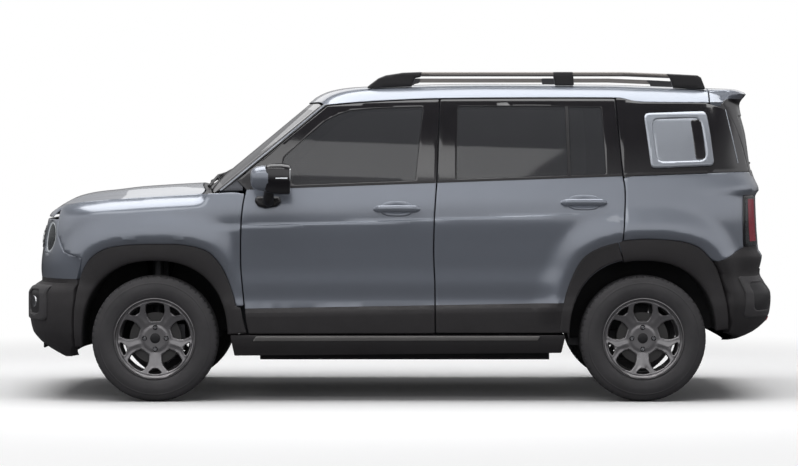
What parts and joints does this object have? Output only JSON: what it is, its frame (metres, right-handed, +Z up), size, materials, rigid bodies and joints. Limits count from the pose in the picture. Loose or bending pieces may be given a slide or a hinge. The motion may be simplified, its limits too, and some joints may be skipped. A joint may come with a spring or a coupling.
{
  "type": "compact off-road car",
  "caption": "Compact boxy off-road car with open cabin, hinged doors, bonnet and tailgate, steered front wheels, dark arch cladding and roof rails.",
  "frame": {"origin": "on the floor, on the car's centre plane, midway between the axles and between the bumpers", "axes": "+X towards the rear of the car, +Y to the car's right side, +Z up"},
  "size_m": [4.01, 2.06, 1.735],
  "materials": {
    "paint": "metallic gloss",
    "cladding": "grained matte",
    "black_panel": "gloss",
    "mirror_body": "gloss",
    "glass": "tinted, clear",
    "lamp_clear": "clear",
    "lamp_red": "gloss",
    "tyre": "matte",
    "alloy": "satin, dark painted",
    "rail": "satin",
    "steel": "satin",
    "body_inner": "satin",
    "trim": "matte",
    "fabric": "woven",
    "battery": "matte"
  },
  "bodies": {
    "body": {"floor_pan": "body_inner", "front_frame": "steel", "rear_axle": "steel", "side_frame_left": "paint", "side_frame_right": "paint", "battery_pack": "battery", "drive_unit": "steel", "roof_panel": "paint", "roof_rail_left": "rail", "roof_rail_right": "rail", "windscreen": "glass", "cowl": "black_panel", "fender_left": "paint", "fender_right": "paint", "nose_panel": "paint", "front_bumper": "cladding", "headlamp_left": "lamp_clear", "headlamp_right": "lamp_clear", "front_arch_left": "cladding", "front_arch_right": "cladding", "rear_arch_left": "cladding", "rear_arch_right": "cladding", "rocker_left": "cladding", "rocker_right": "cladding", "quarter_left": "paint", "quarter_right": "paint", "pillar_panel_left": "black_panel", "pillar_panel_right": "black_panel", "rear_bumper": "cladding", "tail_lamp_left": "lamp_red", "tail_lamp_right": "lamp_red", "seat_left": "fabric", "seat_right": "fabric", "rear_seat": "fabric", "dashboard": "trim"},
    "bonnet": {"bonnet": "paint"},
    "tailgate": {"tailgate": "paint", "tailgate_glass": "glass"},
    "front_door_left": {"door_front_left": "paint", "glass_front_left": "glass", "mirror_left": "mirror_body"},
    "front_door_right": {"door_front_right": "paint", "glass_front_right": "glass", "mirror_right": "mirror_body"},
    "rear_door_left": {"door_rear_left": "paint", "glass_rear_left": "glass"},
    "rear_door_right": {"door_rear_right": "paint", "glass_rear_right": "glass"},
    "hub_left": {"knuckle_left": "steel"},
    "hub_right": {"knuckle_right": "steel"},
    "wheel_front_left": {"tyre_front_left": "tyre", "rim_front_left": "alloy"},
    "wheel_front_right": {"tyre_front_right": "tyre", "rim_front_right": "alloy"},
    "wheel_rear_left": {"tyre_rear_left": "tyre", "rim_rear_left": "alloy"},
    "wheel_rear_right": {"tyre_rear_right": "tyre", "rim_rear_right": "alloy"},
    "hand_wheel": {"steering_wheel": "trim"}
  },
  "joints": [
    {"name": "bonnet_hinge", "type": "hinge", "parent": "body", "child": "bonnet", "pos_m": [-0.985, 0, 1.107], "axis": [0, 1, 0], "range_deg": [0, 50]},
    {"name": "tailgate_hinge", "type": "hinge", "parent": "body", "child": "tailgate", "pos_m": [1.672, 0, 1.655], "axis": [0, -1, 0], "range_deg": [0, 75]},
    {"name": "front_door_left_hinge", "type": "hinge", "parent": "body", "child": "front_door_left", "pos_m": [-0.769, -0.851, 0.35], "axis": [0, 0, -1], "range_deg": [0, 65]},
    {"name": "front_door_right_hinge", "type": "hinge", "parent": "body", "child": "front_door_right", "pos_m": [-0.769, 0.851, 0.35], "axis": [0, 0, 1], "range_deg": [0, 65]},
    {"name": "rear_door_left_hinge", "type": "hinge", "parent": "body", "child": "rear_door_left", "pos_m": [0.244, -0.851, 0.35], "axis": [0, 0, -1], "range_deg": [0, 65]},
    {"name": "rear_door_right_hinge", "type": "hinge", "parent": "body", "child": "rear_door_right", "pos_m": [0.244, 0.851, 0.35], "axis": [0, 0, 1], "range_deg": [0, 65]},
    {"name": "steer_left", "type": "hinge", "parent": "body", "child": "hub_left", "pos_m": [-1.28, -0.716, 0.215], "axis": [0, 0.199, 0.98], "range_deg": [-32, 32]},
    {"name": "steer_right", "type": "hinge", "parent": "body", "child": "hub_right", "pos_m": [-1.28, 0.716, 0.215], "axis": [0, -0.199, 0.98], "range_deg": [-32, 32]},
    {"name": "steering_column", "type": "hinge", "parent": "body", "child": "hand_wheel", "pos_m": [-0.475, -0.36, 1.085], "axis": [0.9063, 0, 0.4226], "range_deg": [-448, 448]},
    {"name": "spin_front_left", "type": "hinge", "parent": "hub_left", "child": "wheel_front_left", "pos_m": [-1.28, -0.7575, 0.331], "axis": [0, 1, 0], "continuous": true},
    {"name": "spin_front_right", "type": "hinge", "parent": "hub_right", "child": "wheel_front_right", "pos_m": [-1.28, 0.7575, 0.331], "axis": [0, 1, 0], "continuous": true},
    {"name": "spin_rear_left", "type": "hinge", "parent": "body", "child": "wheel_rear_left", "pos_m": [1.28, -0.7575, 0.331], "axis": [0, 1, 0], "continuous": true},
    {"name": "spin_rear_right", "type": "hinge", "parent": "body", "child": "wheel_rear_right", "pos_m": [1.28, 0.7575, 0.331], "axis": [0, 1, 0], "continuous": true}
  ],
  "couplings": [
    {"joint": "steer_right", "follows": "steer_left", "ratio": 1},
    {"joint": "steering_column", "follows": "steer_left", "ratio": 14}
  ]
}
